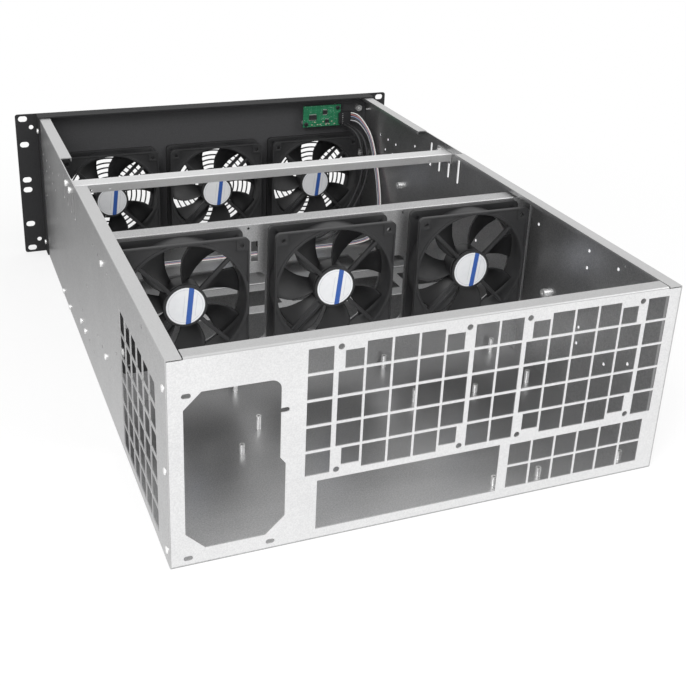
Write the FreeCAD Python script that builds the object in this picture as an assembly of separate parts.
import FreeCAD, Part
import math
import os

# Rack-mount mining rig frame, four rack units high, lid off.
# Units are millimetres. X runs across the width, the front panel faces -Y and +Z is up.
# The origin is the middle of the bottom of the whole frame.

# Main sizes of the body
DEPTH = 650.0
BODY_WIDTH = 430.0
BODY_HEIGHT = 175.0
SHEET = 1.0
HALF_WIDTH = BODY_WIDTH / 2
INNER_HALF = HALF_WIDTH - SHEET
BUTTON_PROUD = 2.0
REAR_Y = DEPTH / 2 + BUTTON_PROUD / 2
FRONT_Y = REAR_Y - DEPTH
TOUCH_GAP = 0.1
SCREW_GAP = 0.02
CUT_PAST = 1.0
WALL_CUT_INNER = HALF_WIDTH - 7.0
WALL_CUT_OUTER = HALF_WIDTH + 3.0

# Front panel with the rack ears
PANEL_WIDTH = 482.6
PANEL_THICK = 1.5
PANEL_HEIGHT = BODY_HEIGHT + PANEL_THICK
PANEL_RETURN = 20.0
PANEL_BACK_Y = FRONT_Y + PANEL_THICK
EAR_CORNER_RADIUS = 3.0
EAR_SLOT_SPACING_X = 465.1
EAR_SLOT_WIDTH = 10.5
EAR_SLOT_HEIGHT = 7.0
EAR_FIRST_SLOT_Z = 5.7
EAR_SLOT_STEPS = (0.0, 31.75, 76.2, 88.9, 133.35, 165.1)
HANDLE_HOLE_X = PANEL_WIDTH / 2 - 18.0
HANDLE_HOLE_DIAMETER = 5.5
HANDLE_HOLE_SPACING = 144.0

# Places along the depth, forward of the rear face; the card bay fills the rest
FAN_WALL_AT = 243.6
CARD_BAY = DEPTH - FAN_WALL_AT
REAR_TRAY_AT = FAN_WALL_AT + 0.3041 * CARD_BAY
BAR_REAR_AT = FAN_WALL_AT + 0.3861 * CARD_BAY
FRONT_TRAY_AT = FAN_WALL_AT + 0.5869 * CARD_BAY

# Side walls and their top flanges
FLANGE_WIDTH = 12.0
FLANGE_LIP = 3.0
FLANGE_GAP_FRONT = BAR_REAR_AT + 68.5
FLANGE_GAP_REAR = BAR_REAR_AT - 26.5
FLANGE_CLEARANCE = 0.8
BEND_RADIUS = 1.2

# Vertical slots for the hold-down bar
BAR_SLOT_COUNT = 4
BAR_SLOT_PITCH = 22.9
BAR_SLOT_FIRST = BAR_REAR_AT - 17.2
BAR_SLOT_WIDTH = 4.2
BAR_SLOT_BOTTOM = BODY_HEIGHT - 38.5
BAR_SLOT_TOP = BODY_HEIGHT - 9.5

# Hold-down bar
BAR_TOP_Z = BODY_HEIGHT - 8.0
BAR_TOP_WIDTH = 18.0
BAR_LIP = 9.0
BAR_THICK = 1.2
BAR_END_GAP = 0.4
BAR_TAB_BOTTOM = BAR_TOP_Z - 12.5
BAR_TAB_LENGTH = 34.0
BAR_SCREW_Z = BAR_TOP_Z - 6.0
BAR_SCREW_SHANK = 3.8
BAR_SCREW_HEAD = 7.0
BAR_SCREW_HEAD_HEIGHT = 2.2
BAR_NUT_ACROSS = 7.0
BAR_NUT_HEIGHT = 2.6
BAR_HEAD_GAP = 0.05
BAR_SCREW_TIP = 1.0
BAR_SIDE_HOLE_UP = 2.6
BAR_SIDE_HOLES_X = (INNER_HALF - 19.0, INNER_HALF - 38.0, 28.0 - INNER_HALF)
BAR_SIDE_HOLE_DIAMETER = 2.4

# Square vent grids
GRID_SQUARE = 20.0
GRID_PITCH = 22.0
GRID_COLUMNS = (0.0, 24.0, 46.0, 68.0, 90.0, 112.0, 136.0,
                158.0, 182.0, 204.0, 226.0, 248.0, 270.0, 294.0)
GRID_ROWS = 5
GRID_SMALL_SQUARE = 15.0
GRID_CUT_LEFT_CORNER = (1, 8)
GRID_CUT_RIGHT_CORNER = (5, 12)
GRID_EDGE_FROM_SIDE = 104.6
GRID_BOTTOM = 59.0
REAR_FAN_HOLES = (25.5, 130.5, 183.5, 288.5)
REAR_FAN_HOLE_Z = (1.5, 106.5)
REAR_FAN_HOLE_DIAMETER = 5.0
LOW_GRID_FROM_SIDE = 282.8
LOW_GRID_BOTTOM = 10.0
LOW_GRID_COLUMNS = 6
LOW_GRID_ROWS = 2
SIDE_GRID_FROM_REAR = 34.0
SIDE_GRID_BOTTOM = 9.5
SIDE_GRID_COLUMNS = 6
SIDE_GRID_ROWS = 6

# Input and output window and power supply window in the rear panel
IO_FROM_SIDE = 114.8
IO_WIDTH = 158.75
IO_HEIGHT = 44.45
IO_BOTTOM = 9.0
PSU_OUTLINE = ((25.5, 146.6), (12.2, 133.5), (12.2, 28.3), (27.4, 13.4), (73.8, 13.4),
               (89.2, 27.8), (89.2, 74.7), (84.9, 80.3), (84.9, 146.6))
PSU_CORNER_RADIUS = 8.0
PSU_SLOTS = ((14.5, 144.6), (14.0, 6.6), (78.0, 6.6), (87.8, 120.6))
PSU_SLOT_LENGTH = 7.0
PSU_SLOT_WIDTH = 4.0
REAR_FLANGE = 13.0
REAR_SIDE_FLANGE = 14.0
REAR_SIDE_FLANGE_DROP = 5.0
REAR_BEND_RADIUS = 2.0

# Fans
FAN_SIZE = 120.0
FAN_DEPTH = 25.0
FAN_FLANGE = 4.0
FAN_CORNER_RADIUS = 5.0
FAN_TUNNEL_RADIUS = 57.5
FAN_TUNNEL_WALL = 1.6
FAN_HOLE_SPACING = 105.0
FAN_HOLE_DIAMETER = 4.3
FAN_SCREW_HEAD = 7.2
FAN_SCREW_BITE = 3.0
TUNNEL_INSET = 0.5
SEAT_RADIUS = 20.5
SEAT_THICK = 2.0
STRUT_WIDTH = 3.6
STRUT_DEPTH = 4.0
STRUT_ROOT = 1.5
STRUT_END = 0.8
STRUT_ANGLES = (-45.0, 135.0, 225.0)
BROAD_STRUT_ANGLE = 45.0
BROAD_STRUT_WIDTH = 7.0
ROTOR_HUB_RADIUS = 20.0
ROTOR_HUB_DEPTH = 16.5
ROTOR_HUB_WALL = 1.6
ROTOR_GAP = 1.2
BLADE_COUNT = 7
# Blade sections: radius, then the angles of the trailing and leading edges in degrees
BLADE_STATIONS = ((19.5, -16.0, 12.0), (30.0, -17.5, 14.0), (42.0, -15.0, 19.0), (55.8, -7.0, 26.0))
BLADE_MEAN_RADIUS = 37.65
BLADE_THICK = 1.4
BLADE_CAMBER = 1.6
BLADE_FALL_PER_DEGREE = 0.40
BLADE_TWIST_SHARE = 0.25
BLADE_SEAM = 0.001
SHAFT_RADIUS = 1.5
BEARING_CLEARANCE = 0.05
BEARING_RADIUS = 4.0
BEARING_LENGTH = 12.0
BEARING_FLOOR = 0.5
SHAFT_END_GAP = 1.0
HUB_WALL_OVERLAP = 0.5
STATOR_LENGTH = 8.0
STATOR_RING_RADIUS = 7.0
STATOR_TIP_RADIUS = 17.0
STATOR_TIP_THICK = 2.0
STATOR_ARM_WIDTH = 3.6
STATOR_GAP_WIDTH = 2.4
STATOR_POLES = 4
STATOR_STEP = 1.0
STATOR_FROM_SEAT = 3.0
LABEL_RADIUS = 18.0
LABEL_THICK = 0.2
SEAT_SINK = 0.1
STRUT_SINK = 0.4
FRONT_FAN_PITCH = 135.0
FRONT_FAN_CENTRE_Z = 66.0
MID_FAN_PITCH = 145.0

# Ring grilles in the front panel
RING_COUNT = 6
RING_FIRST_RADIUS = 18.0
RING_PITCH = 6.2
RING_SLOT = 4.7
SPOKE_WIDTH = 4.0
SPOKE_COUNT = 4
SPOKE_REACH = 70.0
SPOKE_FIRST_ANGLE = 45.0

# Middle fan wall
FAN_WALL_TOP = BODY_HEIGHT - 5.8
MID_FAN_CENTRE_Z = FAN_WALL_TOP - 62.5
FAN_WALL_FLANGE = 16.0
FAN_WALL_SIDE_FLANGE = 14.0
FAN_WALL_SIDE_DROP = 2.0
FAN_WALL_FOOT = 12.0
WALL_OPENING_RADIUS = 56.5
WINDOW_WIDTH = 22.0
WINDOW_BOTTOM = MID_FAN_CENTRE_Z - 57.2
WINDOW_TOP = MID_FAN_CENTRE_Z + 13.8
WINDOW_RADIUS = 8.0
CABLE_SLOT_WIDTH = 6.6
CABLE_SLOT_BOTTOM = FAN_WALL_TOP - 37.7
CABLE_SLOT_TOP = FAN_WALL_TOP - 17.2
BEND_HOLE_X = 78.5
BEND_HOLE_DROP = 4.0
BEND_HOLE_DIAMETER = 2.6

# Riser trays
TRAY_WIDTH = 70.0
TRAY_STRIP = 17.0
TRAY_THICK = 1.2
TRAY_SCREW_HALF_SPACING = 12.3
REAR_TRAY_TOP = 33.0
TRAY_TAB_DROP = 10.2
TRAY_TAB_INSET = 4.0
TRAY_END_LAND = 16.0
TRAY_SCREW_DROP = 6.0
FRONT_TRAY_TOP = 12.5
FRONT_TRAY_SCREW_HALF_SPACING = 22.4
TRAY_BRIDGE_X = (-140.0, 0.0, 140.0)
TRAY_BRIDGE_WIDTH = 12.0

# Small screws and rivets
SMALL_HOLE = 3.4
SLOT_END_SHARE = 0.98
SCREW_SHANK = 3.0
SCREW_HEAD = 6.0
SCREW_HEAD_HEIGHT = 1.8
SCREW_END_X = INNER_HALF - 3.5
RIVET_HEAD = 6.0
RIVET_TAIL = 4.8
RIVET_TAIL_HEIGHT = 1.2
RIVET_HEAD_HEIGHT = 1.1
RIVET_SHANK = 3.2
RIVET_Z = (12.8, 0.468 * BODY_HEIGHT, BODY_HEIGHT - 25.1)
RIVET_FROM_REAR = 7.2

# Board posts: across the width, forward of the rear face
TALL_POST_X = (92.5, -65.0, -189.5)
TALL_POST_ROWS = (165.0, 237.4)
TALL_POSTS = tuple((x, row) for row in TALL_POST_ROWS for x in TALL_POST_X)
TALL_POST_HEIGHT = 13.0
SHORT_POSTS = ((118.6, 131.2), (-129.9, 163.1), (-111.7, 18.0), (-194.6, 18.0), (-68.1, 18.0))
SHORT_POST_HEIGHT = 8.5
POST_RADIUS = 2.5
POST_THREAD_RADIUS = 1.5
POST_STEM_BOTTOM = 0.05
POST_BORE_RADIUS = 1.2
POST_BORE_DEPTH = 5.0

# Control board behind the front panel
BOARD_CENTRE_X = 67.5 - HALF_WIDTH
BOARD_CENTRE_Z = BODY_HEIGHT - 22.5
BOARD_WIDTH = 52.0
BOARD_HEIGHT = 28.0
BOARD_THICK = 1.6
BOARD_STANDOFF = 8.0
BOARD_HOLE_INSET = 4.0
SPACER_RADIUS = 3.0
BOARD_SCREW_HEAD = 5.6
POWER_BUTTON_X = BOARD_CENTRE_X + 11.5
RESET_BUTTON_X = BOARD_CENTRE_X - 2.5
LED_X = (BOARD_CENTRE_X - 11.5, BOARD_CENTRE_X - 18.5)
BUTTON_Z = BOARD_CENTRE_Z
POWER_BUTTON_RADIUS = 5.0
RESET_BUTTON_RADIUS = 2.4
BUTTON_CLEARANCE = 0.2
BUTTON_RIM = 1.0
BUTTON_RIM_THICK = 0.9
BUTTON_TRAVEL = 1.5
BUTTON_STEM_RADIUS = 1.2
SWITCH_DEPTH = 3.8
SWITCH_SIZE = 6.0
PLUNGER_LENGTH = 0.6
POWER_PLUNGER_RADIUS = 1.7
RESET_PLUNGER_RADIUS = 1.2
LED_RADIUS = 1.5
LED_PROUD = 0.6
LED_COLLAR_RADIUS = 1.9
LED_COLLAR_LENGTH = 5.0

# Cords: share of the shorter run that each arc takes, and the turn that counts as straight
ARC_SHARE = 0.45
STRAIGHT_TURN = 0.002

# Plug on the control board and the leads that leave it
HEADER_PINS = 6
HEADER_PITCH = 2.54
HEADER_UP = 2.0
PIN_LENGTH = 6.0
PIN_HALF = 0.32
PIN_CLEARANCE = 0.13
PLUG_GAP = 0.3
PLUG_DROP = 1.5
PLUG_LENGTH = 13.5
PLUG_HEIGHT = 20.0
PLUG_THICK = 3.4
SIGNAL_WIRE_RADIUS = 0.8
SIGNAL_WIRE_STEP = 2.2
SIGNAL_WIRES = ("white", "red", "blue", "black", "grey")
SLEEVED_RADIUS = 1.3
SLEEVED_STEP = 5.0
LEAD_END_X = INNER_HALF - 44.0
LEAD_PLUG = (12.0, 2.0, 2.4)
SLEEVED_PLUG = (11.0, 7.0, 6.0)
SIGNAL_RUN_BEHIND = 96.4
SLEEVED_RUN_BEHIND = 65.0
SLEEVED_RUN_STEP = 9.0

# Signal wires down the right wall: distance from the wall, distance behind the front face, height as
# a share of the board's height, and the sideways and downward step from wire to wire
SIGNAL_WALL_RUN = ((10.5, 31.0, 0.931, 0.45, 1.8), (5.5, 42.0, 0.826, 0.88, 1.0),
                   (4.5, 56.0, 0.656, 0.90, 1.0), (6.0, 73.0, 0.472, 0.92, 1.0),
                   (9.5, 88.0, 0.302, 0.94, 1.0), (16.0, 96.4, 0.144, 0.95, 1.0))
# and across the floor: place along X and a small step forward
SIGNAL_FLOOR_RUN = ((-186.0, 0.0), (-120.0, 0.0), (40.0, 3.0))
# Sleeved cables: place from the board's edge, distance behind the front face, share of the board's height
SLEEVED_WALL_RUN = ((-14.5, 43.0, 0.859), (-16.0, 54.0, 0.721), (-14.5, 60.0, 0.577),
                    (-7.5, 62.0, 0.420), (5.5, 63.0, 0.262))

# Nuts behind the front panel and for slide rails, and screws of the panel returns
PANEL_NUTS = ((HALF_WIDTH - 12.6, PANEL_HEIGHT - 18.1), (HALF_WIDTH - 8.0, 96.5))
RAIL_REAR_HOLE_AT = 184.5
RAIL_FRONT_HOLE_BEHIND = 124.0
RAIL_HOLE_Z = BODY_HEIGHT / 2
NUT_RADIUS = 4.2
NUT_LENGTH = 5.0
PANEL_SCREW_Z = (16.0, BODY_HEIGHT - 17.0)
PANEL_SCREW_BEHIND = 12.0

# Small holes of both side walls at the rear: distance forward of the rear face, then height
BOTH_WALLS_LOW = ((279.8, 58.0), (257.0, 58.0), (212.5, 58.0), (332.1, 27.0), (308.3, 27.0))
# and the same with a drop below the top in place of the height
BOTH_WALLS_HIGH = ((279.8, 25.0), (257.0, 25.0), (212.5, 25.0))
# Holes at half height, forward of the rear face and behind the front face
MIDDLE_HOLES_AT = (330.4, RAIL_REAR_HOLE_AT)
MIDDLE_HOLES_BEHIND = (RAIL_FRONT_HOLE_BEHIND, 43.0)
# Holes of one wall only; the third table of each gives distance behind the front face and drop
LEFT_WALL_LOW = ((389.6, 44.0), (368.9, 44.0))
LEFT_WALL_HIGH = ((73.2, 9.1),)
LEFT_WALL_FRONT = ((94.7, 8.5), (162.3, 24.4), (36.0, 38.5), (61.0, 38.5), (86.0, 38.5), (110.0, 38.5),
                   (54.0, 53.4), (77.7, 53.4), (101.4, 53.4), (125.0, 53.4))
RIGHT_WALL_LOW = ((126.3, 76.8), (126.3, 60.0), (81.6, 60.0), (49.4, 76.8))
RIGHT_WALL_HIGH = ((126.3, 19.6), (126.3, 36.5), (81.6, 19.6))
RIGHT_WALL_FRONT = ((54.0, 40.5), (77.5, 40.5), (101.0, 40.5), (71.0, 55.5), (92.6, 55.5), (154.7, 27.0))
FAN_WALL_SCREWS = ((FAN_WALL_AT - 7.4, BODY_HEIGHT - 25.0), (FAN_WALL_AT - 7.4, 58.0))

# Blind dimple on the inner face of the right wall
DIMPLE_AT = 72.3
DIMPLE_DROP = 13.0
DIMPLE_RADIUS = 1.3
DIMPLE_DEPTH = 0.5


def forward(distance):
    """Y of a plane the given distance forward of the rear face."""
    return REAR_Y - distance


def behind(distance):
    """Y of a plane the given distance behind the front face."""
    return FRONT_Y + distance


def box(x0, x1, y0, y1, z0, z1):
    corner = FreeCAD.Vector(min(x0, x1), min(y0, y1), min(z0, z1))
    return Part.makeBox(abs(x1 - x0), abs(y1 - y0), abs(z1 - z0), corner)


def rod_x(radius, x0, x1, y, z):
    start = FreeCAD.Vector(min(x0, x1), y, z)
    return Part.makeCylinder(radius, abs(x1 - x0), start, FreeCAD.Vector(1, 0, 0))


def rod_y(radius, x, y0, y1, z):
    start = FreeCAD.Vector(x, min(y0, y1), z)
    return Part.makeCylinder(radius, abs(y1 - y0), start, FreeCAD.Vector(0, 1, 0))


def rod_z(radius, x, y, z0, z1):
    start = FreeCAD.Vector(x, y, min(z0, z1))
    return Part.makeCylinder(radius, abs(z1 - z0), start, FreeCAD.Vector(0, 0, 1))


def prism_y(points, y0, y1):
    """Extrude an X-Z outline from y0 to y1."""
    corners = [FreeCAD.Vector(x, y0, z) for x, z in points]
    corners.append(corners[0])
    return Part.Face(Part.makePolygon(corners)).extrude(FreeCAD.Vector(0, y1 - y0, 0))


def round_edges(shape, radius, wanted):
    """Round the straight edges whose middle point passes the test."""
    chosen = []
    for edge in shape.Edges:
        if edge.Curve.TypeId != "Part::GeomLine":
            continue
        middle = edge.valueAt((edge.FirstParameter + edge.LastParameter) / 2)
        if wanted(edge, middle):
            chosen.append(edge)
    if chosen:
        shape = shape.makeFillet(radius, chosen)
    return shape


def runs_along(edge, axis):
    start = edge.Vertexes[0].Point
    end = edge.Vertexes[-1].Point
    along = end - start
    sizes = (abs(along.x), abs(along.y), abs(along.z))
    return sizes[axis] > 1.0 and sum(sizes) - sizes[axis] < 0.01


def slot_box(x0, x1, y0, y1, z0, z1, radius):
    """A plate-shaped cutter through Y with rounded corners."""
    shape = box(x0, x1, y0, y1, z0, z1)
    return round_edges(shape, radius, lambda edge, middle: runs_along(edge, 1))


def wall_hole(side, distance, height, diameter=SMALL_HOLE):
    """Cutter through a side wall and the flange that lies against it."""
    y = forward(distance)
    return rod_x(diameter / 2, side * WALL_CUT_INNER, side * WALL_CUT_OUTER, y, height)


def wall_hole_places(side):
    """Distance forward of the rear face and height of each small hole of one wall."""
    if side > 0:
        low_holes = BOTH_WALLS_LOW + LEFT_WALL_LOW
        high_holes = BOTH_WALLS_HIGH + LEFT_WALL_HIGH
        front_holes = LEFT_WALL_FRONT
    else:
        low_holes = BOTH_WALLS_LOW + RIGHT_WALL_LOW
        high_holes = BOTH_WALLS_HIGH + RIGHT_WALL_HIGH
        front_holes = RIGHT_WALL_FRONT
    places = list(low_holes)
    for distance, drop in high_holes:
        places.append((distance, BODY_HEIGHT - drop))
    for distance, drop in front_holes:
        places.append((DEPTH - distance, BODY_HEIGHT - drop))
    for distance in MIDDLE_HOLES_AT:
        places.append((distance, RAIL_HOLE_Z))
    for distance in MIDDLE_HOLES_BEHIND:
        places.append((DEPTH - distance, RAIL_HOLE_Z))
    return places


def placed(shape, x, y, z):
    copy = shape.copy()
    copy.translate(FreeCAD.Vector(x, y, z))
    return copy


def finish(shape, name):
    """Write one sub-part."""
    shape.exportStep("parts/" + name + ".step")


def compound(shapes):
    return Part.makeCompound(shapes)


def make_chassis_pan():
    """Floor, side walls and their broken top flanges, folded from one sheet."""
    y0 = PANEL_BACK_Y
    y1 = REAR_Y
    lip_end = y1 - SHEET - FLANGE_CLEARANCE
    outer = box(-HALF_WIDTH, HALF_WIDTH, y0, y1, 0, BODY_HEIGHT)
    inner = box(-INNER_HALF, INNER_HALF, y0 - 1, y1 + 1, SHEET, BODY_HEIGHT - SHEET)
    opening_half = HALF_WIDTH - FLANGE_WIDTH
    top_opening = box(-opening_half, opening_half, y0 - 1, y1 + 1, BODY_HEIGHT - SHEET - 1, BODY_HEIGHT + 1)
    body = outer.cut(inner).cut(top_opening)
    for side in (-1, 1):
        lip_out = side * opening_half
        lip_in = side * (opening_half + SHEET)
        lip = box(lip_in, lip_out, y0, lip_end, BODY_HEIGHT - SHEET - FLANGE_LIP, BODY_HEIGHT - SHEET)
        body = body.fuse(lip)
    body = body.removeSplitter()

    def outside_bend(edge, middle):
        at_side = abs(abs(middle.x) - HALF_WIDTH) < 0.01
        at_end = middle.z < 0.01 or middle.z > BODY_HEIGHT - 0.01
        return runs_along(edge, 1) and at_side and at_end

    body = round_edges(body, BEND_RADIUS, outside_bend)
    cutters = []
    gap_y0 = forward(FLANGE_GAP_FRONT)
    gap_y1 = forward(FLANGE_GAP_REAR)
    for side in (-1, 1):
        flange_in = side * (opening_half - CUT_PAST)
        lip_low = BODY_HEIGHT - SHEET - FLANGE_LIP - CUT_PAST
        above = BODY_HEIGHT + CUT_PAST
        outside = side * (HALF_WIDTH + CUT_PAST)
        cutters.append(box(side * INNER_HALF, flange_in, gap_y0, gap_y1, lip_low, above))
        cutters.append(box(outside, side * INNER_HALF, gap_y0, gap_y1, BODY_HEIGHT - SHEET, above))
        for index in range(BAR_SLOT_COUNT):
            y = forward(BAR_SLOT_FIRST + index * BAR_SLOT_PITCH)
            half = BAR_SLOT_WIDTH / 2
            slot = box(side * WALL_CUT_INNER, side * WALL_CUT_OUTER, y - half, y + half,
                       BAR_SLOT_BOTTOM, BAR_SLOT_TOP)
            slot = round_edges(slot, half * SLOT_END_SHARE, lambda edge, middle: runs_along(edge, 0))
            cutters.append(slot)
    for side in (-1, 1):
        for distance, height in wall_hole_places(side):
            cutters.append(wall_hole(side, distance, height))
        for distance, height in FAN_WALL_SCREWS + tray_screw_places():
            cutters.append(wall_hole(side, distance, height))
        for height in RIVET_Z:
            cutters.append(wall_hole(side, RIVET_FROM_REAR, height))
        for height in PANEL_SCREW_Z:
            cutters.append(wall_hole(side, DEPTH - PANEL_SCREW_BEHIND, height))
    dimple_z = BODY_HEIGHT - DIMPLE_DROP
    dimple_x = -(INNER_HALF + DIMPLE_DEPTH)
    cutters.append(rod_x(DIMPLE_RADIUS, dimple_x, CUT_PAST - INNER_HALF, forward(DIMPLE_AT), dimple_z))
    for column in range(SIDE_GRID_COLUMNS):
        for row in range(SIDE_GRID_ROWS):
            y = forward(SIDE_GRID_FROM_REAR + column * GRID_PITCH)
            z = SIDE_GRID_BOTTOM + row * GRID_PITCH
            cutters.append(box(WALL_CUT_INNER, WALL_CUT_OUTER, y - GRID_SQUARE, y, z, z + GRID_SQUARE))
    for x, distance in TALL_POSTS + SHORT_POSTS:
        cutters.append(rod_z(POST_THREAD_RADIUS, x, forward(distance), -1, 2))
    body = body.cut(compound(cutters))
    finish(body, "chassis_pan")
    return body


def tray_screw_places():
    """Side-wall screw places of the two riser trays."""
    places = []
    for sign in (-1, 1):
        rear_at = REAR_TRAY_AT + sign * TRAY_SCREW_HALF_SPACING
        front_at = FRONT_TRAY_AT + sign * FRONT_TRAY_SCREW_HALF_SPACING
        places.append((rear_at, REAR_TRAY_TOP - TRAY_SCREW_DROP))
        places.append((front_at, FRONT_TRAY_TOP - TRAY_SCREW_DROP))
    return tuple(places)


def make_rear_panel():
    """Rear panel with its vent grids, power supply window and folded edges."""
    face_y = REAR_Y
    reach = INNER_HALF - TOUCH_GAP
    low = SHEET + TOUCH_GAP
    shoulder = BODY_HEIGHT - SHEET - FLANGE_CLEARANCE
    opening_half = HALF_WIDTH - FLANGE_WIDTH - SHEET
    body = box(-reach, reach, face_y - SHEET, face_y, low, shoulder)
    middle_part = box(-opening_half, opening_half, face_y - SHEET, face_y, low, BODY_HEIGHT)
    top = box(-opening_half, opening_half, face_y - REAR_FLANGE, face_y, BODY_HEIGHT - SHEET, BODY_HEIGHT)
    body = body.fuse(middle_part).fuse(top)
    flange_y = face_y - REAR_SIDE_FLANGE
    flange_top = BODY_HEIGHT - REAR_SIDE_FLANGE_DROP
    for side in (-1, 1):
        body = body.fuse(box(side * reach, side * (reach - SHEET), flange_y, face_y, low, flange_top))
    body = body.removeSplitter()

    def inner_bend(edge, middle):
        at_corner = abs(middle.z - BODY_HEIGHT + SHEET) < 0.01 and abs(middle.y - face_y + SHEET) < 0.01
        return runs_along(edge, 0) and at_corner

    def top_bend(edge, middle):
        return runs_along(edge, 0) and middle.z > BODY_HEIGHT - 0.01 and middle.y > face_y - 0.01

    body = round_edges(body, REAR_BEND_RADIUS - SHEET, inner_bend)
    body = round_edges(body, REAR_BEND_RADIUS, top_bend)
    cutters = []
    y0 = face_y - 3
    y1 = face_y + 1
    for column, offset in enumerate(GRID_COLUMNS):
        for row in range(GRID_ROWS):
            left = GRID_EDGE_FROM_SIDE + offset
            low = GRID_BOTTOM + row * GRID_PITCH
            right = left + GRID_SQUARE
            high = low + GRID_SQUARE
            trim = GRID_SQUARE - GRID_SMALL_SQUARE
            if row in (0, GRID_ROWS - 1):
                if column in GRID_CUT_LEFT_CORNER:
                    left = left + trim
                if column in GRID_CUT_RIGHT_CORNER:
                    right = right - trim
                if column in GRID_CUT_LEFT_CORNER + GRID_CUT_RIGHT_CORNER:
                    if row == 0:
                        low = low + trim
                    else:
                        high = high - trim
            cutters.append(box(HALF_WIDTH - left, HALF_WIDTH - right, y0, y1, low, high))
    for column in range(LOW_GRID_COLUMNS):
        for row in range(LOW_GRID_ROWS):
            left = LOW_GRID_FROM_SIDE + column * GRID_PITCH
            low = LOW_GRID_BOTTOM + row * GRID_PITCH
            x0 = HALF_WIDTH - left
            cutters.append(box(x0, x0 - GRID_SQUARE, y0, y1, low, low + GRID_SQUARE))
    for offset in REAR_FAN_HOLES:
        for height in REAR_FAN_HOLE_Z:
            x = HALF_WIDTH - GRID_EDGE_FROM_SIDE - offset
            cutters.append(rod_y(REAR_FAN_HOLE_DIAMETER / 2, x, y0, y1, GRID_BOTTOM + height))
    io_x = HALF_WIDTH - IO_FROM_SIDE
    cutters.append(box(io_x, io_x - IO_WIDTH, y0, y1, IO_BOTTOM, IO_BOTTOM + IO_HEIGHT))
    psu_points = [(HALF_WIDTH - e, z) for e, z in PSU_OUTLINE]
    psu = prism_y(psu_points, y0, y1)
    last_x, last_z = psu_points[-1]

    def psu_corner(edge, middle):
        return runs_along(edge, 1) and abs(middle.x - last_x) < 0.1 and abs(middle.z - last_z) < 0.1

    cutters.append(round_edges(psu, PSU_CORNER_RADIUS, psu_corner))
    for e, z in PSU_SLOTS:
        x = HALF_WIDTH - e
        half_length = PSU_SLOT_LENGTH / 2
        half_width = PSU_SLOT_WIDTH / 2
        cutters.append(slot_box(x - half_length, x + half_length, y0, y1, z - half_width, z + half_width,
                                half_width * SLOT_END_SHARE))
    for side in (-1, 1):
        for height in RIVET_Z:
            cutters.append(wall_hole(side, RIVET_FROM_REAR, height))
    body = body.cut(compound(cutters))
    finish(body, "rear_panel")
    return body


def front_fan_centres():
    return [(x * FRONT_FAN_PITCH, FRONT_FAN_CENTRE_Z) for x in (1, 0, -1)]


def mid_fan_centres():
    return [(x * MID_FAN_PITCH, MID_FAN_CENTRE_Z) for x in (1, 0, -1)]


def fan_hole_places(centre_x, centre_z):
    half = FAN_HOLE_SPACING / 2
    return [(centre_x + i * half, centre_z + k * half) for i in (-1, 1) for k in (-1, 1)]


def ring_grille_cutter(centre_x, centre_z):
    """Concentric ring slots broken by radial spokes."""
    y0 = FRONT_Y - 1
    y1 = PANEL_BACK_Y + 1
    spokes = []
    for index in range(SPOKE_COUNT // 2):
        bar = box(-SPOKE_REACH, SPOKE_REACH, y0 - 1, y1 + 1, -SPOKE_WIDTH / 2, SPOKE_WIDTH / 2)
        angle = SPOKE_FIRST_ANGLE + index * 360.0 / SPOKE_COUNT
        bar.rotate(FreeCAD.Vector(0, 0, 0), FreeCAD.Vector(0, 1, 0), angle)
        bar.translate(FreeCAD.Vector(centre_x, 0, centre_z))
        spokes.append(bar)
    rings = []
    for index in range(RING_COUNT):
        inner = RING_FIRST_RADIUS + index * RING_PITCH
        ring = rod_y(inner + RING_SLOT, centre_x, y0, y1, centre_z)
        ring = ring.cut(rod_y(inner, centre_x, y0 - 1, y1 + 1, centre_z))
        for spoke in spokes:
            ring = ring.cut(spoke)
        rings.append(ring)
    return rings


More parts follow.
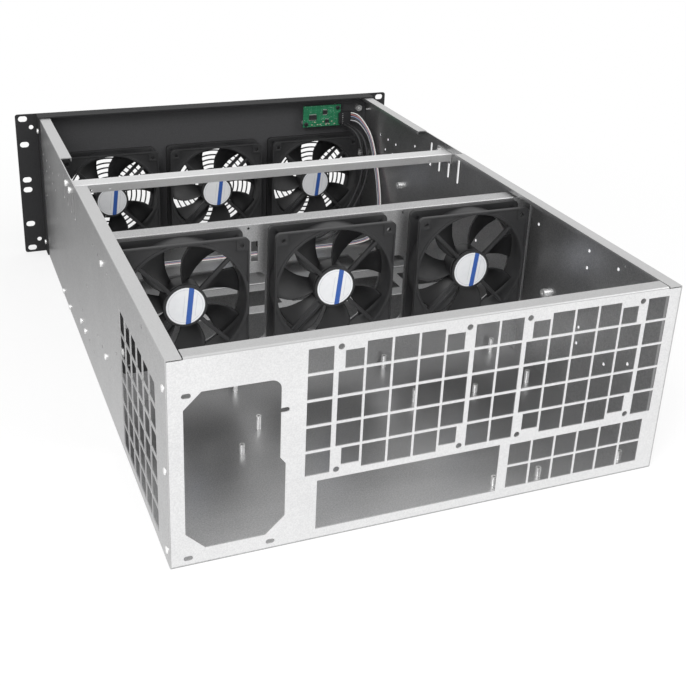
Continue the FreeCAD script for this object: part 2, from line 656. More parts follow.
def make_front_panel():
    """Front panel with rack ears, ring grilles and the folded returns."""
    half = PANEL_WIDTH / 2
    plate = box(-half, half, FRONT_Y, PANEL_BACK_Y, 0, PANEL_HEIGHT)

    def ear_corner(edge, middle):
        return runs_along(edge, 1)

    plate = round_edges(plate, EAR_CORNER_RADIUS, ear_corner)
    for side in (-1, 1):
        x0 = side * HALF_WIDTH
        x1 = side * (HALF_WIDTH + PANEL_THICK)
        plate = plate.fuse(box(x0, x1, FRONT_Y + 0.2, behind(PANEL_RETURN), 1.0, PANEL_HEIGHT))
    top_z = PANEL_HEIGHT - PANEL_THICK
    plate = plate.fuse(box(-HALF_WIDTH, HALF_WIDTH, FRONT_Y + 0.2, behind(PANEL_RETURN), top_z, PANEL_HEIGHT))
    plate = plate.removeSplitter()
    y0 = FRONT_Y - 1
    y1 = PANEL_BACK_Y + 1
    cutters = []
    for side in (-1, 1):
        x = side * EAR_SLOT_SPACING_X / 2
        for step in EAR_SLOT_STEPS:
            z = EAR_FIRST_SLOT_Z + step
            low = z - EAR_SLOT_HEIGHT / 2
            cutters.append(slot_box(x - EAR_SLOT_WIDTH / 2, x + EAR_SLOT_WIDTH / 2, y0, y1,
                                    low, low + EAR_SLOT_HEIGHT, EAR_SLOT_HEIGHT / 2 * SLOT_END_SHARE))
        for sign in (-1, 1):
            z = PANEL_HEIGHT / 2 + sign * HANDLE_HOLE_SPACING / 2
            cutters.append(rod_y(HANDLE_HOLE_DIAMETER / 2, side * HANDLE_HOLE_X, y0, y1, z))
        for height in PANEL_SCREW_Z:
            cutters.append(wall_hole(side, DEPTH - PANEL_SCREW_BEHIND, height))
    for centre_x, centre_z in front_fan_centres():
        cutters.extend(ring_grille_cutter(centre_x, centre_z))
        for x, z in fan_hole_places(centre_x, centre_z):
            cutters.append(rod_y(FAN_HOLE_DIAMETER / 2, x, y0, y1, z))
    cutters.append(rod_y(POWER_BUTTON_RADIUS + BUTTON_CLEARANCE, POWER_BUTTON_X, y0, y1, BUTTON_Z))
    cutters.append(rod_y(RESET_BUTTON_RADIUS + BUTTON_CLEARANCE, RESET_BUTTON_X, y0, y1, BUTTON_Z))
    for x in LED_X:
        cutters.append(rod_y(LED_RADIUS + TOUCH_GAP, x, y0, y1, BUTTON_Z))
    for x, z in board_hole_places():
        cutters.append(rod_y(SCREW_SHANK / 2, x, y0, y1, z))
    plate = plate.cut(compound(cutters))
    finish(plate, "front_panel")
    return plate


def make_fan_wall():
    """Sheet wall that carries the three middle fans."""
    face_y = forward(FAN_WALL_AT)
    back_y = face_y - SHEET
    reach = INNER_HALF - TOUCH_GAP
    flange_reach = HALF_WIDTH - FLANGE_WIDTH - SHEET
    body = box(-reach, reach, back_y, face_y, SHEET + TOUCH_GAP, FAN_WALL_TOP)
    top_y = face_y - FAN_WALL_FLANGE
    top = box(-flange_reach, flange_reach, top_y, face_y, FAN_WALL_TOP - SHEET, FAN_WALL_TOP)
    low = SHEET + TOUCH_GAP
    foot = box(-reach, reach, face_y - FAN_WALL_FOOT, face_y, low, low + SHEET)
    body = body.fuse(top).fuse(foot)
    for side in (-1, 1):
        x1 = side * (reach - SHEET)
        side_top = FAN_WALL_TOP - FAN_WALL_SIDE_DROP
        body = body.fuse(box(side * reach, x1, back_y, face_y + FAN_WALL_SIDE_FLANGE, low, side_top))
    body = body.removeSplitter()

    def top_bend(edge, middle):
        return runs_along(edge, 0) and middle.z > FAN_WALL_TOP - 0.01 and middle.y > face_y - 0.01

    body = round_edges(body, BEND_RADIUS, top_bend)
    y0 = back_y - 1
    y1 = face_y + 1
    cutters = []
    for centre_x, centre_z in mid_fan_centres():
        cutters.append(rod_y(WALL_OPENING_RADIUS, centre_x, y0, y1, centre_z))
        for x, z in fan_hole_places(centre_x, centre_z):
            cutters.append(rod_y(FAN_HOLE_DIAMETER / 2, x, y0, y1, z))
    window_x = MID_FAN_PITCH / 2
    for side in (-1, 1):
        x = side * window_x
        half = WINDOW_WIDTH / 2
        cutters.append(slot_box(x - half, x + half, y0, y1, WINDOW_BOTTOM, WINDOW_TOP, WINDOW_RADIUS))
        bend_hole_z = FAN_WALL_TOP - BEND_HOLE_DROP
        cutters.append(rod_y(BEND_HOLE_DIAMETER / 2, side * BEND_HOLE_X, y0, y1, bend_hole_z))
    half_slot = CABLE_SLOT_WIDTH / 2
    cutters.append(box(window_x - half_slot, window_x + half_slot, y0, y1, CABLE_SLOT_BOTTOM, CABLE_SLOT_TOP))
    for side in (-1, 1):
        for distance, height in FAN_WALL_SCREWS:
            cutters.append(wall_hole(side, distance, height))
    body = body.cut(compound(cutters))
    finish(body, "fan_wall")
    return body


def bar_screw_ys():
    """The bar is held by the second and third slots."""
    return [forward(BAR_SLOT_FIRST + index * BAR_SLOT_PITCH) for index in (1, 2)]


def make_hold_down_bar():
    """Inverted channel that spans the body, with a wide tab at each end."""
    end = INNER_HALF - BAR_END_GAP
    rear_y = forward(BAR_REAR_AT)
    front_y = rear_y - BAR_TOP_WIDTH
    low = BAR_TOP_Z - BAR_LIP
    body = box(-end, end, front_y, rear_y, low, BAR_TOP_Z)
    hollow = box(-end - 1, end + 1, front_y + BAR_THICK, rear_y - BAR_THICK, low - 1, BAR_TOP_Z - BAR_THICK)
    body = body.cut(hollow)
    for side in (-1, 1):
        x1 = side * (end - BAR_THICK)
        body = body.fuse(box(side * end, x1, rear_y - BAR_TAB_LENGTH, rear_y, BAR_TAB_BOTTOM, BAR_TOP_Z))
    body = body.removeSplitter()

    def outside_bend(edge, middle):
        at_side = abs(middle.y - rear_y) < 0.01 or abs(middle.y - front_y) < 0.01
        return runs_along(edge, 0) and middle.z > BAR_TOP_Z - 0.01 and at_side

    body = round_edges(body, BEND_RADIUS, outside_bend)
    cutters = []
    for side in (-1, 1):
        x0 = side * WALL_CUT_INNER
        x1 = side * WALL_CUT_OUTER
        for y in bar_screw_ys():
            cutters.append(rod_x(BAR_SCREW_SHANK / 2, x0, x1, y, BAR_SCREW_Z))
    for x in BAR_SIDE_HOLES_X:
        cutters.append(rod_y(BAR_SIDE_HOLE_DIAMETER / 2, x, rear_y - 3, rear_y + 1, low + BAR_SIDE_HOLE_UP))
    body = body.cut(compound(cutters))
    finish(body, "hold_down_bar")
    return body


def hexagon_x(across, x0, x1, y, z):
    radius = across / math.sqrt(3)
    points = []
    for index in range(7):
        angle = math.radians(60 * index + 30)
        points.append(FreeCAD.Vector(x0, y + radius * math.cos(angle), z + radius * math.sin(angle)))
    return Part.Face(Part.makePolygon(points)).extrude(FreeCAD.Vector(x1 - x0, 0, 0))


def make_bar_screws():
    """Four screws through the wall slots, heads outside, nuts inside."""
    screws = []
    nuts = []
    for side in (-1, 1):
        for y in bar_screw_ys():
            inner = side * (INNER_HALF - BAR_END_GAP - BAR_THICK)
            head_in = side * (HALF_WIDTH + BAR_HEAD_GAP)
            head_out = side * (HALF_WIDTH + BAR_HEAD_GAP + BAR_SCREW_HEAD_HEIGHT)
            tip = inner - side * (BAR_NUT_HEIGHT + BAR_SCREW_TIP)
            shank = rod_x(BAR_SCREW_SHANK / 2 - SCREW_GAP, tip, head_in, y, BAR_SCREW_Z)
            head = rod_x(BAR_SCREW_HEAD / 2, head_in, head_out, y, BAR_SCREW_Z)
            screws.append(shank.fuse(head).removeSplitter())
            nut_end = inner - side * BAR_NUT_HEIGHT
            nut = hexagon_x(BAR_NUT_ACROSS, inner, nut_end, y, BAR_SCREW_Z)
            nuts.append(nut.cut(rod_x(BAR_SCREW_SHANK / 2, nut_end - side, inner, y, BAR_SCREW_Z)))
    finish(compound(screws), "bar_screws")
    finish(compound(nuts), "bar_nuts")


def make_tray(name, centre, top, bottom):
    """Low tray across the body with long openings between two strips."""
    end = INNER_HALF - TOUCH_GAP
    y0 = forward(centre + TRAY_WIDTH / 2)
    y1 = forward(centre - TRAY_WIDTH / 2)
    body = box(-end, end, y0, y1, top - TRAY_THICK, top)
    body = body.fuse(box(-end, end, y0, y0 + TRAY_THICK, bottom, top))
    body = body.fuse(box(-end, end, y1 - TRAY_THICK, y1, bottom, top))
    for side in (-1, 1):
        x1 = side * (end - TRAY_THICK)
        tab_y0 = y0 + TRAY_TAB_INSET
        tab_y1 = y1 - TRAY_TAB_INSET
        body = body.fuse(box(side * end, x1, tab_y0, tab_y1, top - TRAY_TAB_DROP, top))
    body = body.removeSplitter()

    def outside_bend(edge, middle):
        at_side = abs(middle.y - y0) < 0.01 or abs(middle.y - y1) < 0.01
        return runs_along(edge, 0) and middle.z > top - 0.01 and at_side

    body = round_edges(body, BEND_RADIUS, outside_bend)
    cutters = []
    edges = [-end + TRAY_END_LAND]
    for x in TRAY_BRIDGE_X:
        edges.append(x - TRAY_BRIDGE_WIDTH / 2)
        edges.append(x + TRAY_BRIDGE_WIDTH / 2)
    edges.append(end - TRAY_END_LAND)
    for index in range(0, len(edges), 2):
        opening_y0 = y0 + TRAY_STRIP
        opening_y1 = y1 - TRAY_STRIP
        low = top - TRAY_THICK - CUT_PAST
        cutters.append(box(edges[index], edges[index + 1], opening_y0, opening_y1, low, top + CUT_PAST))
    for distance, height in tray_screw_places():
        if abs(distance - centre) < TRAY_WIDTH / 2:
            for side in (-1, 1):
                cutters.append(wall_hole(side, distance, height, SCREW_SHANK))
    body = body.cut(compound(cutters))
    finish(body, name)
    return body


def side_screw(side, distance, height, seat_x):
    """Pan-head screw from outside the wall, its shank ending inside."""
    y = forward(distance)
    head_in = side * (seat_x + SCREW_GAP)
    head_out = side * (seat_x + SCREW_GAP + SCREW_HEAD_HEIGHT)
    shank = rod_x(SCREW_SHANK / 2 - SCREW_GAP, side * SCREW_END_X, head_in, y, height)
    head = rod_x(SCREW_HEAD / 2, head_in, head_out, y, height)
    return shank.fuse(head).removeSplitter()


def make_side_screws():
    """Screws of the trays, the fan wall and the front panel returns."""
    trays = []
    wall = []
    panel = []
    for side in (-1, 1):
        for distance, height in tray_screw_places():
            trays.append(side_screw(side, distance, height, HALF_WIDTH))
        for distance, height in FAN_WALL_SCREWS:
            wall.append(side_screw(side, distance, height, HALF_WIDTH))
        for height in PANEL_SCREW_Z:
            panel.append(side_screw(side, DEPTH - PANEL_SCREW_BEHIND, height, HALF_WIDTH + PANEL_THICK))
    finish(compound(trays), "tray_screws")
    finish(compound(wall), "fan_wall_screws")
    finish(compound(panel), "panel_screws")


def make_rivets():
    """Rivets that join the rear panel flanges to the walls."""
    rivets = []
    for side in (-1, 1):
        for height in RIVET_Z:
            y = forward(RIVET_FROM_REAR)
            head_in = side * (HALF_WIDTH + SCREW_GAP)
            head = rod_x(RIVET_HEAD / 2, head_in, side * (HALF_WIDTH + RIVET_HEAD_HEIGHT), y, height)
            tail_x = INNER_HALF - TOUCH_GAP - SHEET
            shank_end = side * (tail_x - RIVET_TAIL_HEIGHT / 2)
            shank = rod_x(RIVET_SHANK / 2, shank_end, head_in, y, height)
            tail_end = side * (tail_x - RIVET_TAIL_HEIGHT)
            tail = rod_x(RIVET_TAIL / 2, tail_end, side * (tail_x - SCREW_GAP), y, height)
            rivets.append(head.fuse(shank).fuse(tail).removeSplitter())
    finish(compound(rivets), "rear_rivets")


def make_posts():
    """Tall and short board posts standing on the floor."""
    groups = (("tall_posts", TALL_POSTS, TALL_POST_HEIGHT),
              ("short_posts", SHORT_POSTS, SHORT_POST_HEIGHT))
    for name, places, height in groups:
        posts = []
        for x, distance in places:
            y = forward(distance)
            top = SHEET + height
            post = rod_z(POST_RADIUS, x, y, SHEET, top)
            stem = rod_z(POST_THREAD_RADIUS - SCREW_GAP, x, y, POST_STEM_BOTTOM, SHEET + CUT_PAST)
            bore = rod_z(POST_BORE_RADIUS, x, y, top - POST_BORE_DEPTH, top + CUT_PAST)
            posts.append(post.fuse(stem).cut(bore).removeSplitter())
        finish(compound(posts), name)


def fan_flange(y0, y1):
    half = FAN_SIZE / 2
    return slot_box(-half, half, y0, y1, -half, half, FAN_CORNER_RADIUS)


def fan_strut(angle, width, y0, y1):
    bar = box(SEAT_RADIUS - STRUT_ROOT, FAN_TUNNEL_RADIUS + STRUT_END, y0, y1, -width / 2, width / 2)
    bar.rotate(FreeCAD.Vector(0, 0, 0), FreeCAD.Vector(0, 1, 0), angle)
    return bar


def make_fan_frame():
    """Fan frame about the origin; the motor seat is at +Y, the air enters at -Y."""
    flange_a = fan_flange(0, FAN_FLANGE)
    flange_b = fan_flange(FAN_DEPTH - FAN_FLANGE, FAN_DEPTH)
    tunnel = rod_y(FAN_TUNNEL_RADIUS + FAN_TUNNEL_WALL, 0, TUNNEL_INSET, FAN_DEPTH - TUNNEL_INSET, 0)
    body = flange_a.fuse(flange_b).fuse(tunnel)
    cutters = [rod_y(FAN_TUNNEL_RADIUS, 0, -1, FAN_DEPTH + 1, 0)]
    for x, z in fan_hole_places(0, 0):
        cutters.append(rod_y(FAN_HOLE_DIAMETER / 2, x, -1, FAN_DEPTH + 1, z))
    body = body.cut(compound(cutters))
    seat_y0 = FAN_DEPTH - SEAT_THICK
    seat = rod_y(SEAT_RADIUS, 0, seat_y0, FAN_DEPTH - LABEL_THICK - SEAT_SINK, 0)
    strut_y0 = FAN_DEPTH - STRUT_DEPTH
    strut_y1 = FAN_DEPTH - STRUT_SINK
    for angle in STRUT_ANGLES:
        seat = seat.fuse(fan_strut(angle, STRUT_WIDTH, strut_y0, strut_y1))
    seat = seat.fuse(fan_strut(BROAD_STRUT_ANGLE, BROAD_STRUT_WIDTH, strut_y0, strut_y1))
    sleeve_y0 = seat_y0 - BEARING_LENGTH
    sleeve = rod_y(BEARING_RADIUS, 0, sleeve_y0, seat_y0 + CUT_PAST, 0)
    bore = rod_y(SHAFT_RADIUS + BEARING_CLEARANCE, 0, sleeve_y0 - CUT_PAST, seat_y0 - BEARING_FLOOR, 0)
    seat = seat.fuse(sleeve)
    return body.fuse(seat).removeSplitter().cut(bore)


def blade_section(radius, trail, lead, mid_y):
    """Closed thin arc across the blade at one radius, from its trailing to its leading edge."""
    centre = (trail + lead) / 2
    twist = 1.0 - BLADE_TWIST_SHARE + BLADE_TWIST_SHARE * BLADE_MEAN_RADIUS / radius
    half_thick = FreeCAD.Vector(0, BLADE_THICK / 2, 0)
    upper = []
    lower = []
    for angle, camber in ((trail, 0.0), (centre, BLADE_CAMBER), (lead, 0.0)):
        turn = math.radians(angle)
        y = mid_y - BLADE_FALL_PER_DEGREE * (angle - centre) * twist - camber
        point = FreeCAD.Vector(radius * math.cos(turn), y, radius * math.sin(turn))
        upper.append(point + half_thick)
        lower.append(point - half_thick)
    upper_curve = Part.BSplineCurve()
    upper_curve.interpolate(upper)
    lower_curve = Part.BSplineCurve()
    lower_curve.interpolate(lower)
    upper_edge = upper_curve.toShape()
    lower_edge = lower_curve.toShape()
    trail_edge = Part.makeLine(lower[0], upper[0])
    lead_edge = Part.makeLine(upper[-1], lower[-1])
    ring = Part.Wire(Part.__sortEdges__([trail_edge, upper_edge, lead_edge, lower_edge]))
    return ring, upper_edge, lower_edge


def fan_blade(mid_y):
    """One swept blade: lofted outwards through its sections and closed at root and tip."""
    rings = []
    caps = []
    for radius, trail, lead in BLADE_STATIONS:
        ring, upper_edge, lower_edge = blade_section(radius, trail, lead, mid_y)
        rings.append(ring)
        caps.append(Part.makeRuledSurface(upper_edge, lower_edge))
    sides = Part.makeLoft(rings, False, False).Faces
    shell = Part.makeShell(sides + [caps[0], caps[-1]])
    shell.sewShape(BLADE_SEAM)
    blade = Part.Solid(shell)
    if blade.Volume < 0:
        blade.reverse()
    return blade


def make_fan_rotor():
    """Hub cup with blades and shaft about the origin, cup closed at -Y."""
    hub_y1 = FAN_DEPTH - STRUT_DEPTH - ROTOR_GAP
    hub_y0 = hub_y1 - ROTOR_HUB_DEPTH
    hub = rod_y(ROTOR_HUB_RADIUS, 0, hub_y0, hub_y1, 0)
    hub = hub.cut(rod_y(ROTOR_HUB_RADIUS - ROTOR_HUB_WALL, 0, hub_y0 + ROTOR_HUB_WALL, hub_y1 + 1, 0))
    mid_y = (hub_y0 + hub_y1) / 2
    for index in range(BLADE_COUNT):
        blade = fan_blade(mid_y)
        blade.rotate(FreeCAD.Vector(0, 0, 0), FreeCAD.Vector(0, 1, 0), index * 360.0 / BLADE_COUNT)
        hub = hub.fuse(blade)
    hub = hub.cut(rod_y(ROTOR_HUB_RADIUS - ROTOR_HUB_WALL, 0, hub_y0 + ROTOR_HUB_WALL, hub_y1 + 1, 0))
    shaft_end = FAN_DEPTH - SEAT_THICK - BEARING_FLOOR - SHAFT_END_GAP
    shaft = rod_y(SHAFT_RADIUS, 0, hub_y0 + HUB_WALL_OVERLAP, shaft_end, 0)
    return hub.fuse(shaft).removeSplitter()


def make_fan_stator():
    """Motor core pressed on the bearing sleeve: a ring with four poles."""
    y1 = FAN_DEPTH - SEAT_THICK - STATOR_FROM_SEAT
    y0 = y1 - STATOR_LENGTH
    ring_y0 = y0 + STATOR_STEP
    ring_y1 = y1 - STATOR_STEP
    core = rod_y(STATOR_RING_RADIUS, 0, y0, y1, 0)
    ring = rod_y(STATOR_TIP_RADIUS, 0, ring_y0, ring_y1, 0)
    ring = ring.cut(rod_y(STATOR_TIP_RADIUS - STATOR_TIP_THICK, 0, y0, y1, 0))
    arm_half = STATOR_ARM_WIDTH / 2
    gap_half = STATOR_GAP_WIDTH / 2
    arm_end = STATOR_TIP_RADIUS - STATOR_TIP_THICK / 2
    quarter = 360.0 / STATOR_POLES
    for index in range(STATOR_POLES):
        gap = box(-gap_half, gap_half, y0, y1, 0, STATOR_TIP_RADIUS + CUT_PAST)
        arm = box(-arm_half, arm_half, ring_y0, ring_y1, 0, arm_end)
        gap.rotate(FreeCAD.Vector(0, 0, 0), FreeCAD.Vector(0, 1, 0), quarter * (index + 0.5))
        arm.rotate(FreeCAD.Vector(0, 0, 0), FreeCAD.Vector(0, 1, 0), quarter * index)
        ring = ring.cut(gap)
        core = core.fuse(arm)
    core = core.fuse(ring).cut(rod_y(BEARING_RADIUS, 0, y0 - 1, y1 + 1, 0))
    return core.removeSplitter()


def make_fans():
    """Six equal fans: three behind the front panel, three behind the fan wall."""
    frame = make_fan_frame()
    rotor = make_fan_rotor()
    stator = make_fan_stator()
    labels = []
    stators = []
    groups = (("front", front_fan_centres(), PANEL_BACK_Y),
              ("mid", mid_fan_centres(), forward(FAN_WALL_AT)))
    for group, centres, y in groups:
        for index, (x, z) in enumerate(centres):
            number = str(index + 1)
            finish(placed(frame, x, y, z), group + "_fan_frame_" + number)
            finish(placed(rotor, x, y, z), group + "_fan_rotor_" + number)
            label_y = y + FAN_DEPTH - SEAT_SINK
            label = rod_y(LABEL_RADIUS, x, label_y - LABEL_THICK, label_y, z)
            labels.append(label)
            stators.append(placed(stator, x, y, z))
    finish(compound(labels), "fan_labels")
    finish(compound(stators), "fan_stators")


def make_fan_screws():
    """Self-tapping fan screws: heads on the far side, shanks in the far flange."""
    sets = (("front_fan_screws", front_fan_centres(), FRONT_Y, PANEL_THICK),
            ("mid_fan_screws", mid_fan_centres(), forward(FAN_WALL_AT) - SHEET, SHEET))
    for name, centres, face_y, thick in sets:
        screws = []
        for centre_x, centre_z in centres:
            for x, z in fan_hole_places(centre_x, centre_z):
                head = rod_y(FAN_SCREW_HEAD / 2, x, face_y - SCREW_HEAD_HEIGHT, face_y - SCREW_GAP, z)
                shank_end = face_y + thick + FAN_SCREW_BITE
                shank_start = face_y - SCREW_HEAD_HEIGHT / 2
                shank = rod_y(FAN_HOLE_DIAMETER / 2 - SCREW_GAP, x, shank_start, shank_end, z)
                screws.append(head.fuse(shank).removeSplitter())
        finish(compound(screws), name)


def board_hole_places():
    dx = BOARD_WIDTH / 2 - BOARD_HOLE_INSET
    dz = BOARD_HEIGHT / 2 - BOARD_HOLE_INSET
    return [(BOARD_CENTRE_X + dx, BOARD_CENTRE_Z - dz), (BOARD_CENTRE_X - dx, BOARD_CENTRE_Z + dz)]


def header_pin_heights():
    low = BOARD_CENTRE_Z - BOARD_HEIGHT / 2 + HEADER_UP + HEADER_PITCH / 2
    return [low + index * HEADER_PITCH for index in range(HEADER_PINS)]


def make_control_board():
    """Control board, its spacers and screws, its pin header and two switches."""
    y0 = PANEL_BACK_Y + BOARD_STANDOFF
    y1 = y0 + BOARD_THICK
    x0 = BOARD_CENTRE_X - BOARD_WIDTH / 2
    z0 = BOARD_CENTRE_Z - BOARD_HEIGHT / 2
    board = box(x0, x0 + BOARD_WIDTH, y0, y1, z0, z0 + BOARD_HEIGHT)
    spacers = []
    screws = []
    for x, z in board_hole_places():
        board = board.cut(rod_y(SCREW_SHANK / 2, x, y0 - 1, y1 + 1, z))
        spacer = rod_y(SPACER_RADIUS, x, PANEL_BACK_Y, y0, z)
        spacers.append(spacer.cut(rod_y(SCREW_SHANK / 2, x, PANEL_BACK_Y - 1, y0 + 1, z)))
        head = rod_y(BOARD_SCREW_HEAD / 2, x, y1 + SCREW_GAP, y1 + SCREW_HEAD_HEIGHT, z)
        shank_end = y1 + SCREW_HEAD_HEIGHT / 2
        shank = rod_y(SCREW_SHANK / 2 - SCREW_GAP, x, PANEL_BACK_Y + TOUCH_GAP, shank_end, z)
        screws.append(head.fuse(shank).removeSplitter())
    finish(board, "control_board")
    finish(compound(spacers), "board_spacers")
    finish(compound(screws), "board_screws")
    row_y = y1 + HEADER_PITCH / 2
    low = z0 + HEADER_UP
    header = box(x0, x0 + HEADER_PITCH, y1, y1 + HEADER_PITCH, low, low + HEADER_PINS * HEADER_PITCH)
    pin = PIN_HALF
    for z in header_pin_heights():
        header = header.fuse(box(x0 - PIN_LENGTH, x0 + 0.5, row_y - pin, row_y + pin, z - pin, z + pin))
    finish(header, "pin_header")
    plug_x1 = x0 - PLUG_GAP
    plug_x0 = plug_x1 - PLUG_LENGTH
    low = z0 - PLUG_DROP
    plug = box(plug_x0, plug_x1, row_y - PLUG_THICK / 2, row_y + PLUG_THICK / 2, low, low + PLUG_HEIGHT)
    hole = PIN_HALF + PIN_CLEARANCE
    for z in header_pin_heights():
        plug = plug.cut(box(x0 - PIN_LENGTH - 1.0, x0, row_y - hole, row_y + hole, z - hole, z + hole))
    finish(plug, "header_plug")
    switches = []
    half = SWITCH_SIZE / 2
    for x, radius in ((POWER_BUTTON_X, POWER_PLUNGER_RADIUS), (RESET_BUTTON_X, RESET_PLUNGER_RADIUS)):
        base_y0 = y0 - SWITCH_DEPTH + PLUNGER_LENGTH
        base = box(x - half, x + half, base_y0, y0, BUTTON_Z - half, BUTTON_Z + half)
        plunger = rod_y(radius, x, y0 - SWITCH_DEPTH, base_y0 + TOUCH_GAP, BUTTON_Z)
        switches.append(base.fuse(plunger).removeSplitter())
    finish(compound(switches), "switch_bodies")


def make_button(name, x, radius):
    """Push button with a rim behind the panel that keeps it in."""
    front = FRONT_Y - BUTTON_PROUD
    rim_y0 = PANEL_BACK_Y + TOUCH_GAP
    rim_y1 = rim_y0 + BUTTON_RIM_THICK
    cap = rod_y(radius, x, front, rim_y0 + BUTTON_RIM_THICK / 2, BUTTON_Z)
    rim = rod_y(radius + BUTTON_RIM, x, rim_y0, rim_y1, BUTTON_Z)
    stem_end = PANEL_BACK_Y + BOARD_STANDOFF - SWITCH_DEPTH - BUTTON_TRAVEL - TOUCH_GAP
    stem = rod_y(BUTTON_STEM_RADIUS, x, rim_y0, stem_end, BUTTON_Z)
    finish(cap.fuse(rim).fuse(stem).removeSplitter(), name)


def make_leds():
    """Two indicator lamps standing on the board and showing through the panel."""
    lamps = []
    y0 = PANEL_BACK_Y + BOARD_STANDOFF
    for x in LED_X:
        lens = rod_y(LED_RADIUS, x, FRONT_Y - LED_PROUD, PANEL_BACK_Y + BOARD_STANDOFF / 2, BUTTON_Z)
        collar = rod_y(LED_COLLAR_RADIUS, x, y0 - LED_COLLAR_LENGTH, y0, BUTTON_Z)
        lamps.append(lens.fuse(collar).removeSplitter())
    finish(compound(lamps), "indicator_lamps")


def make_nuts():
    """Nuts pressed on the back of the front panel and inside the walls for slide rails."""
    panel = []
    rail = []
    for side in (-1, 1):
        for x, z in PANEL_NUTS:
            nut = rod_y(NUT_RADIUS, side * x, PANEL_BACK_Y, PANEL_BACK_Y + NUT_LENGTH, z)
            bore = rod_y(SMALL_HOLE / 2, side * x, PANEL_BACK_Y + 1, PANEL_BACK_Y + NUT_LENGTH + 1, z)
            panel.append(nut.cut(bore))
        for y in (forward(RAIL_REAR_HOLE_AT), behind(RAIL_FRONT_HOLE_BEHIND)):
            inner = side * (INNER_HALF - NUT_LENGTH)
            nut = rod_x(NUT_RADIUS, inner, side * INNER_HALF, y, RAIL_HOLE_Z)
            bore = rod_x(SMALL_HOLE / 2, inner - side, side * HALF_WIDTH, y, RAIL_HOLE_Z)
            rail.append(nut.cut(bore))
    finish(compound(panel), "panel_nuts")
    finish(compound(rail), "rail_nuts")


def cord_tube(name, points, radius):
    """Round cord of straight runs joined by tangent arcs; prints its smallest bend."""
    corners = [FreeCAD.Vector(*point) for point in points]
    edges = []
    start = corners[0]
    smallest = None
    for index in range(1, len(corners) - 1):
        here = corners[index]
        back = (corners[index - 1] - here)
        ahead = (corners[index + 1] - here)
        turn = math.pi - back.getAngle(ahead)
        if turn < STRAIGHT_TURN:
            continue
        shorter = min(back.Length, ahead.Length)
        cut = ARC_SHARE * shorter
        bend = cut / math.tan(turn / 2)
        back.normalize()
        ahead.normalize()
        a = here + back * cut
        b = here + ahead * cut
        middle_way = (back + ahead)
        middle_way.normalize()
        reach = bend / math.cos(turn / 2) - bend
        middle = here + middle_way * reach
        edges.append(Part.LineSegment(start, a).toShape())
        edges.append(Part.Arc(a, middle, b).toShape())
        start = b
        smallest = bend if smallest is None else min(smallest, bend)
    edges.append(Part.LineSegment(start, corners[-1]).toShape())
    path = Part.Wire(edges)
    direction = corners[1] - corners[0]
    ring = Part.Wire(Part.makeCircle(radius, corners[0], direction))
    tube = path.makePipeShell([ring], True, False)
    finish(tube, name)
    print(name, "smallest bend radius", round(smallest, 1), "mm for a cord of", 2 * radius, "mm")


def signal_route(index):
    """Route of one signal wire: board plug, down the wall, across the floor."""
    plug_x = BOARD_CENTRE_X - BOARD_WIDTH / 2 - PLUG_GAP - PLUG_LENGTH
    row_y = PANEL_BACK_Y + BOARD_STANDOFF + BOARD_THICK + HEADER_PITCH / 2
    pins = header_pin_heights()
    pin_z = pins[len(pins) - 1 - index]
    points = [(plug_x, row_y, pin_z), (plug_x - 9.0, row_y + 1.0, pin_z)]
    across = index * SIGNAL_WIRE_STEP
    drop = index * SIGNAL_WIRE_STEP / 2
    for from_wall, distance, share, spread, fall in SIGNAL_WALL_RUN:
        y = behind(distance) - across * spread
        points.append((from_wall - INNER_HALF, y, BOARD_CENTRE_Z * share - drop * fall))
    floor_z = SHEET + TOUCH_GAP + SIGNAL_WIRE_RADIUS
    floor_y = behind(SIGNAL_RUN_BEHIND) - across
    for x, forward_step in SIGNAL_FLOOR_RUN:
        points.append((x, floor_y - forward_step, floor_z))
    points.append((LEAD_END_X, floor_y, floor_z))
    return points


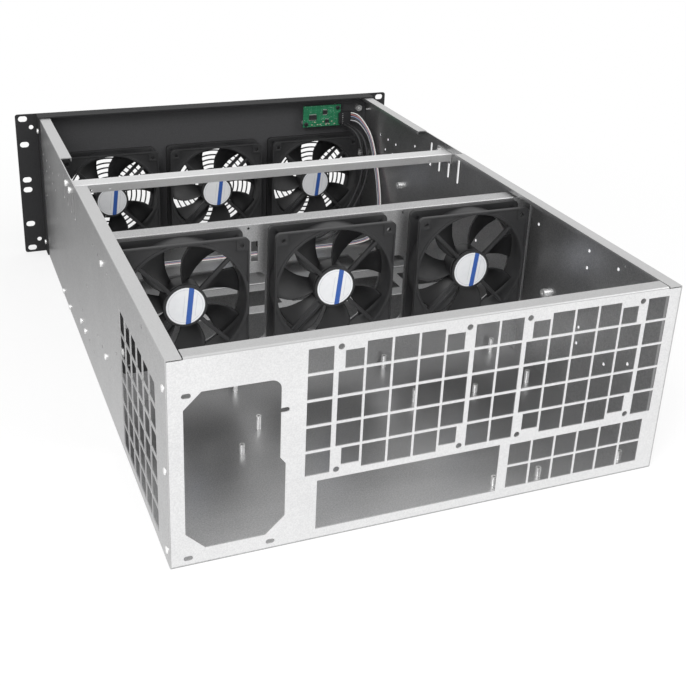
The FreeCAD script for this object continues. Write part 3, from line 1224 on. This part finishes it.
def sleeved_route(index):
    """Route of one black sleeved cable beside the third front fan."""
    plug_face_y = PANEL_BACK_Y + BOARD_STANDOFF + BOARD_THICK + HEADER_PITCH / 2 + PLUG_THICK / 2
    board_x = BOARD_CENTRE_X - BOARD_WIDTH / 2
    start_x = board_x - (index + 1) * SLEEVED_STEP
    start_z = BOARD_CENTRE_Z - BOARD_HEIGHT / 2 + 1.0
    points = [(start_x, plug_face_y, start_z), (start_x - 3.0, plug_face_y + 14.0, start_z)]
    shift = index * SLEEVED_STEP
    for from_board, distance, share in SLEEVED_WALL_RUN:
        points.append((board_x + from_board - shift, behind(distance + shift), BOARD_CENTRE_Z * share))
    floor_z = SHEET + TOUCH_GAP + SLEEVED_RADIUS
    run_y = behind(SLEEVED_RUN_BEHIND + index * SLEEVED_RUN_STEP)
    points.append((board_x + 21.5 - shift, run_y, BOARD_CENTRE_Z * 0.118))
    points.append((board_x + 43.5 - shift, run_y, floor_z))
    points.append((board_x + 77.5, run_y, floor_z))
    points.append((board_x + 121.5, run_y + 2.0, floor_z))
    return points


def make_leads():
    """Signal wires, sleeved cables and the plugs on their far ends."""
    length, thick, height = LEAD_PLUG
    plugs = []
    for index, colour in enumerate(SIGNAL_WIRES):
        route = signal_route(index)
        cord_tube("signal_wire_" + colour, route, SIGNAL_WIRE_RADIUS)
        x, y, z = route[-1]
        z0 = SHEET + TOUCH_GAP
        plugs.append(box(x, x + length, y - thick / 2, y + thick / 2, z0, z0 + height))
    finish(compound(plugs), "lead_plugs")
    length, thick, height = SLEEVED_PLUG
    plugs = []
    for index in range(2):
        route = sleeved_route(index)
        cord_tube("sleeved_cable_" + str(index + 1), route, SLEEVED_RADIUS)
        x, y, z = route[-1]
        z0 = SHEET + TOUCH_GAP
        plugs.append(box(x, x + length, y - thick / 2, y + thick / 2, z0, z0 + height))
    finish(compound(plugs), "sleeved_cable_plugs")


os.makedirs("parts", exist_ok=True)
make_chassis_pan()
make_rear_panel()
make_front_panel()
make_fan_wall()
make_hold_down_bar()
make_bar_screws()
make_tray("riser_tray_rear", REAR_TRAY_AT, REAR_TRAY_TOP, SHEET + TOUCH_GAP)
make_tray("riser_tray_front", FRONT_TRAY_AT, FRONT_TRAY_TOP, SHEET + TOUCH_GAP)
make_side_screws()
make_rivets()
make_posts()
make_fans()
make_fan_screws()
make_control_board()
make_button("power_button", POWER_BUTTON_X, POWER_BUTTON_RADIUS)
make_button("reset_button", RESET_BUTTON_X, RESET_BUTTON_RADIUS)
make_leds()
make_nuts()
make_leads()
